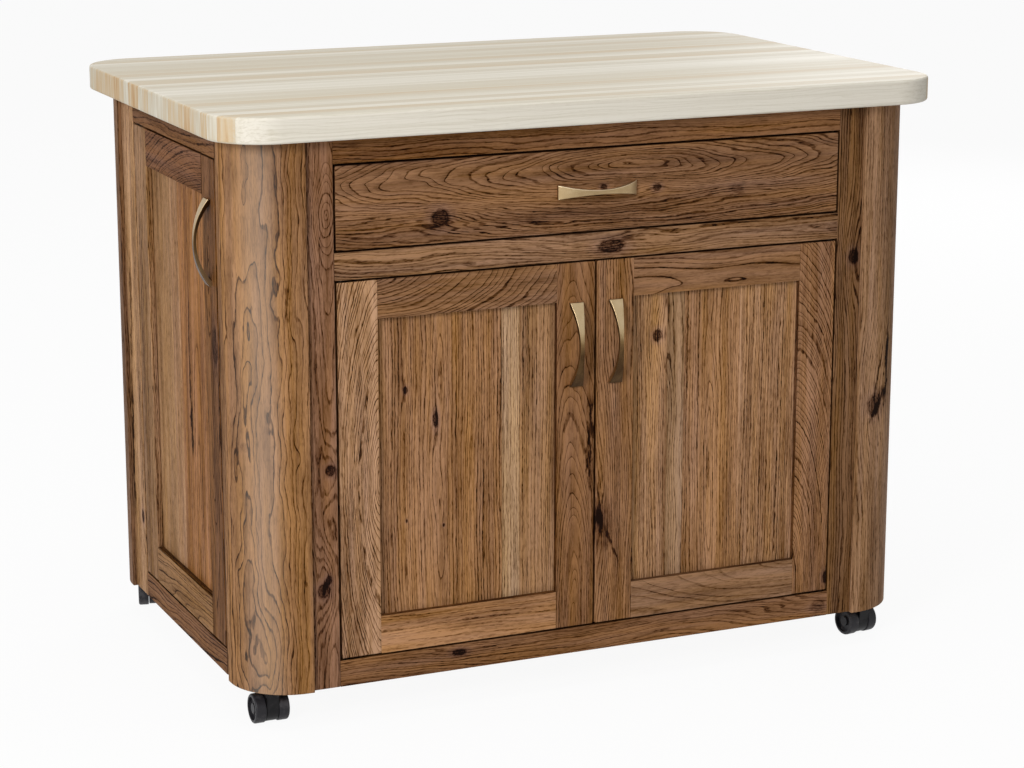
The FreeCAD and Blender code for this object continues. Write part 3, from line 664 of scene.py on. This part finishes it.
# Worktop: strips of pale hardwood glued face to face on edge and planed to one slab, with large
# plan corners and eased edges, oiled. Strip ends show as blocks on the two short sides.
def butcher_block(name):
    material, block = new_finish(name)
    coordinates = block.node("TexCoord", {}, {}, "Object")
    place = block.node("SeparateXYZ", {}, {0: coordinates})
    long_way, across, up = place["X"], place["Y"], place["Z"]
    normal = block.node("SeparateXYZ", {}, {0: coordinates["Normal"]})
    strip_width = 0.026
    first_joint = 0.70
    strip = across / strip_width + first_joint
    number = strip.math("FLOOR")
    chance = block.node("TexWhiteNoise", {"noise_dimensions": "1D"}, {"W": number}, "Value")
    glue = (strip.math("FRACT") - 0.5).math("ABSOLUTE").rise(0.455, 0.49)

    def drawn_out(length, width, detail, shift):
        cell = block.node("CombineXYZ", {}, {
            0: long_way / length + number * 7.3 + shift, 1: across / width, 2: up / width})
        return block.node("TexNoise", {}, {
            "Vector": cell, "Scale": 1.0, "Detail": detail, "Roughness": 0.55})

    fibre = drawn_out(length=0.60, width=0.0030, detail=3.0, shift=0.0) - 0.5
    cloud = drawn_out(length=0.9, width=0.012, detail=2.0, shift=41.0) - 0.5
    pores = drawn_out(length=0.012, width=0.0010, detail=1.0, shift=67.0).rise(0.58, 0.70)
    end_cell = block.node("CombineXYZ", {}, {0: number * 3.1, 1: across / 0.007, 2: up / 0.06})
    end_bands = block.node("TexNoise", {}, {"Vector": end_cell, "Scale": 1.0, "Detail": 2.0})
    end_grain = normal["X"].math("ABSOLUTE").rise(0.55, 0.9)
    long_edge = normal["Y"].math("ABSOLUTE").rise(0.3, 0.8)
    ripple = drawn_out(length=0.20, width=0.03, detail=2.0, shift=89.0) * 5.0
    year_width = 0.0055
    years = (up / year_width + ripple).math("FRACT").rise(0.35, 0.0) * 0.16
    shade = (0.30 + long_edge * (years - 0.24) + (chance - 0.5) * 0.46 + fibre * 0.80 + cloud * 0.34
             + pores * 0.10 + glue * 0.12)
    end_shade = 0.57 + (chance - 0.5) * 0.6 + (end_bands - 0.5) * 1.1 + glue * 0.2
    shade = shade + (end_shade - shade) * end_grain
    colour = block.node("ValToRGB", {"stops": [
        (0.0, ink(216, 210, 197)),
        (0.35, ink(196, 188, 170)),
        (0.7, ink(194, 172, 140)),
        (1.0, ink(180, 143, 101))]}, {0: shade})
    bump = block.node("Bump", {}, {
        "Strength": 0.15, "Distance": 0.0003, "Height": 1.0 - pores * 0.6 - glue * 0.6})
    lacquer(material, {
        "Base Color": colour, "Roughness": 0.5 + shade * 0.12, "Normal": bump,
        "Specular IOR Level": 0.1})
    return material


dress("butcher_block_top", butcher_block("pale butcher block"))

# Casters: moulded twin-wheel swivel casters. A zinc stem with a collar is pressed into each post;
# the black body turns on its pin, and two dark grey wheels run on one axle at its sides.
dress("caster_stems", zinc)
body_black = moulded_plastic("body black", dull=(18, 17, 19), worn_and_painted_sheen=(36, 34, 36), grain=1400.0)
wheel_grey = moulded_plastic("wheel grey", dull=(40, 39, 42), worn_and_painted_sheen=(70, 68, 70), grain=1100.0)
for corner in ("front_left", "front_right", "rear_left", "rear_right"):
    dress("caster_body_" + corner, body_black)
    dress("caster_wheels_" + corner, wheel_grey)

# Floor, light and camera: a plain white studio floor, one broad lamp from the front left, weaker
# ones overhead and behind, and an even sky, seen from the front left a little above the worktop.
floor_mesh = bpy.data.meshes.new("floor")
floor_reach = 30.0
floor_mesh.from_pydata(
    [(-floor_reach, -floor_reach, 0), (floor_reach, -floor_reach, 0),
     (floor_reach, floor_reach, 0), (-floor_reach, floor_reach, 0)], [], [(0, 1, 2, 3)])
floor = bpy.data.objects.new("floor", floor_mesh)
bpy.context.scene.collection.objects.link(floor)
floor_white, paint = new_finish("floor white")
ray = paint.node("LightPath", {}, {}, "Is Camera Ray")
seen = ray + ray["Is Glossy Ray"] + ray["Is Transmission Ray"]
matt = paint.node("BsdfDiffuse", {}, {"Color": (0.82, 0.82, 0.82, 1.0)})
white = (1.0, 1.0, 1.0, 1.0)
glow = paint.node("Emission", {}, {"Color": white, "Strength": 1.0})
shadow_kept = 0.07
lit = seen.math("MINIMUM", 1.0) * (1.0 - shadow_kept)
surface = paint.node("MixShader", {}, {0: lit, 1: matt, 2: glow})
paint.feed(floor_white.node_tree.nodes["Material Output"], {"Surface": surface})
floor_mesh.materials.append(floor_white)

sky = bpy.data.worlds.new("sky")
sky.use_nodes = True
bpy.context.scene.world = sky
air = Wire(sky.node_tree)
ray = air.node("LightPath", {}, {}, "Is Camera Ray")
seen = ray + ray["Is Glossy Ray"] + ray["Is Transmission Ray"]
sky_light = 0.42
strength = sky_light + seen.math("MINIMUM", 1.0) * (1.0 - sky_light)
air.feed(sky.node_tree.nodes["Background"], {"Color": white, "Strength": strength})


def softbox(name, place, aim, width, watts):
    lamp = bpy.data.lights.new(name, "AREA")
    lamp.size = width
    lamp.energy = watts
    holder = bpy.data.objects.new(name, lamp)
    bpy.context.scene.collection.objects.link(holder)
    holder.location = place
    away = holder.location - aim
    holder.rotation_euler = away.to_track_quat("Z", "Y").to_euler()


top_low, top_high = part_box("butcher_block_top")
middle = (top_low + top_high) / 2
middle.z = 0.5
softbox("front left softbox", (-3.6, -3.2, 2.4), middle, width=1.3, watts=150.0)
softbox("overhead softbox", (-0.4, -0.6, 3.6), middle, width=2.2, watts=35.0)
softbox("rear right softbox", (3.4, 3.4, 2.2), middle, width=2.0, watts=60.0)

lens = bpy.data.cameras.new("camera")
lens.sensor_width = 36.0
lens.lens = 94.74
camera = bpy.data.objects.new("camera", lens)
bpy.context.scene.collection.objects.link(camera)
camera.location = (-1.7073, -3.8920, 1.4293)
tilt_down = 13.583
turn_right = 23.895
camera.rotation_euler = (math.radians(90 - tilt_down), 0.0, math.radians(-turn_right))
bpy.context.scene.camera = camera
bpy.context.scene.view_settings.view_transform = "Standard"
